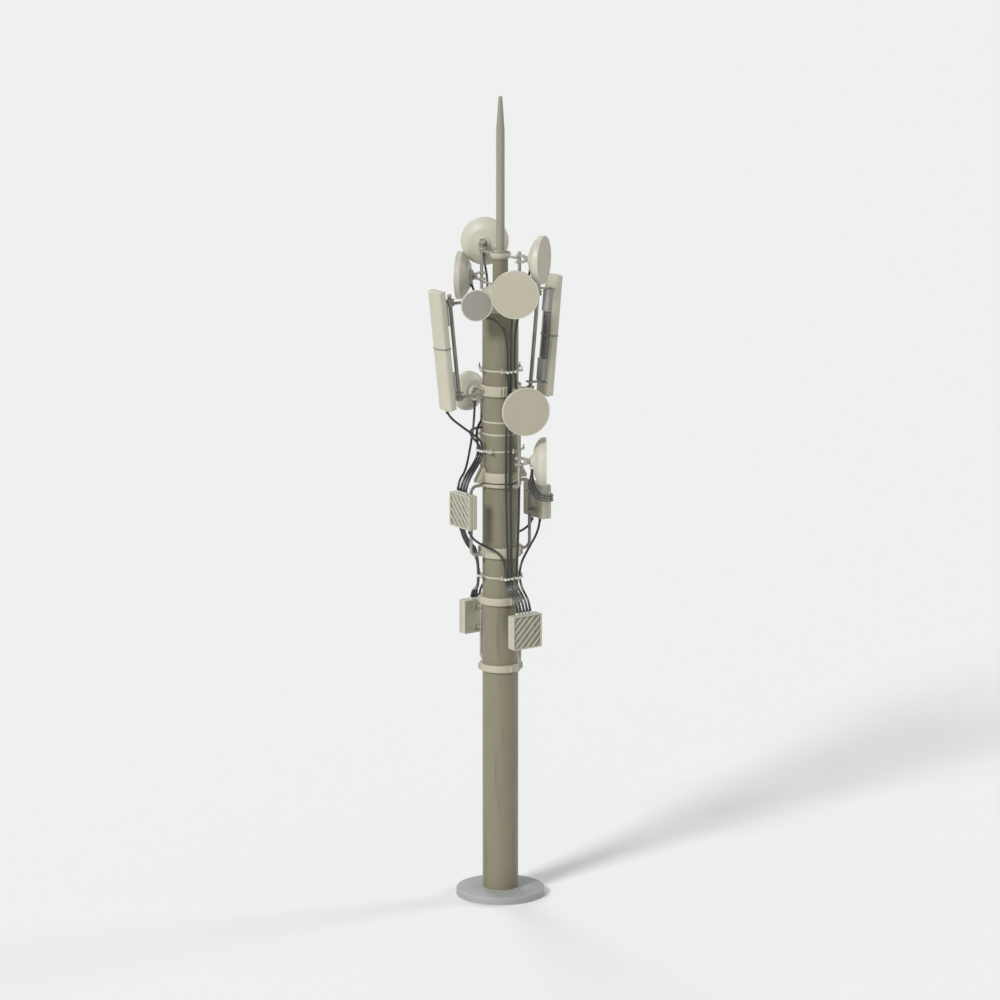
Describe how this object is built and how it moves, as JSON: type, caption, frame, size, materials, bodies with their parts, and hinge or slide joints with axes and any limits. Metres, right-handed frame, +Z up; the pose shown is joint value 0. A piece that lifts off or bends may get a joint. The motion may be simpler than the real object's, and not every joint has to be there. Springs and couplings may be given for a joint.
{
  "type": "cell tower",
  "caption": "Tall steel monopole with microwave dishes, tilted sector panels, remote radio boxes, feeder cables and a spire, standing on a round footing.",
  "frame": {"origin": "centre of the footing's flat underside", "axes": "+Z up along the pole; -Y front, the side of the front dish pipes; +X right"},
  "size_m": [2.8653, 2.5468, 15.096],
  "materials": {
    "footing_paint": "satin",
    "pole_paint": "satin",
    "galvanised_steel": "satin",
    "dish_shell": "satin",
    "radome": "matte",
    "panel_cover": "matte",
    "radio_housing": "satin",
    "cable_jacket": "matte"
  },
  "bodies": {
    "root": {"base_disc": "footing_paint", "cable_guide_rings": "galvanised_steel", "dish_band": "galvanised_steel", "dish_radomes": "radome", "front_feeder_cables": "cable_jacket", "front_lower_dish": "dish_shell", "front_middle_dish": "dish_shell", "front_top_dish": "dish_shell", "front_upper_dish": "dish_shell", "left_arm_dish": "dish_shell", "left_arm_dish_mount": "galvanised_steel", "left_feeder_cables": "cable_jacket", "left_panel": "panel_cover", "lower_dish_mounts": "galvanised_steel", "lower_dish_pipes": "galvanised_steel", "lower_front_radio": "radio_housing", "lower_radio_band": "galvanised_steel", "lower_radio_pipes": "galvanised_steel", "lower_rear_radio": "radio_housing", "main_pole": "pole_paint", "panel_arms": "galvanised_steel", "panel_band": "galvanised_steel", "panel_brackets": "galvanised_steel", "panel_pipes": "galvanised_steel", "panel_spines": "galvanised_steel", "panel_straps": "galvanised_steel", "pole_cap": "pole_paint", "pole_straps": "galvanised_steel", "radio_brackets": "galvanised_steel", "radio_foot_bands": "galvanised_steel", "rear_feeder_cables": "cable_jacket", "rear_lower_dish": "dish_shell", "rear_middle_dish": "dish_shell", "rear_top_dish": "dish_shell", "rear_upper_dish": "dish_shell", "right_feeder_cables": "cable_jacket", "right_panel": "panel_cover", "spire": "pole_paint", "top_collar": "pole_paint", "upper_dish_mounts": "galvanised_steel", "upper_dish_pipes": "galvanised_steel", "upper_left_radio": "radio_housing", "upper_pole": "pole_paint", "upper_radio_band": "galvanised_steel", "upper_radio_pipes": "galvanised_steel", "upper_right_radio": "radio_housing"}
  },
  "joints": []
}
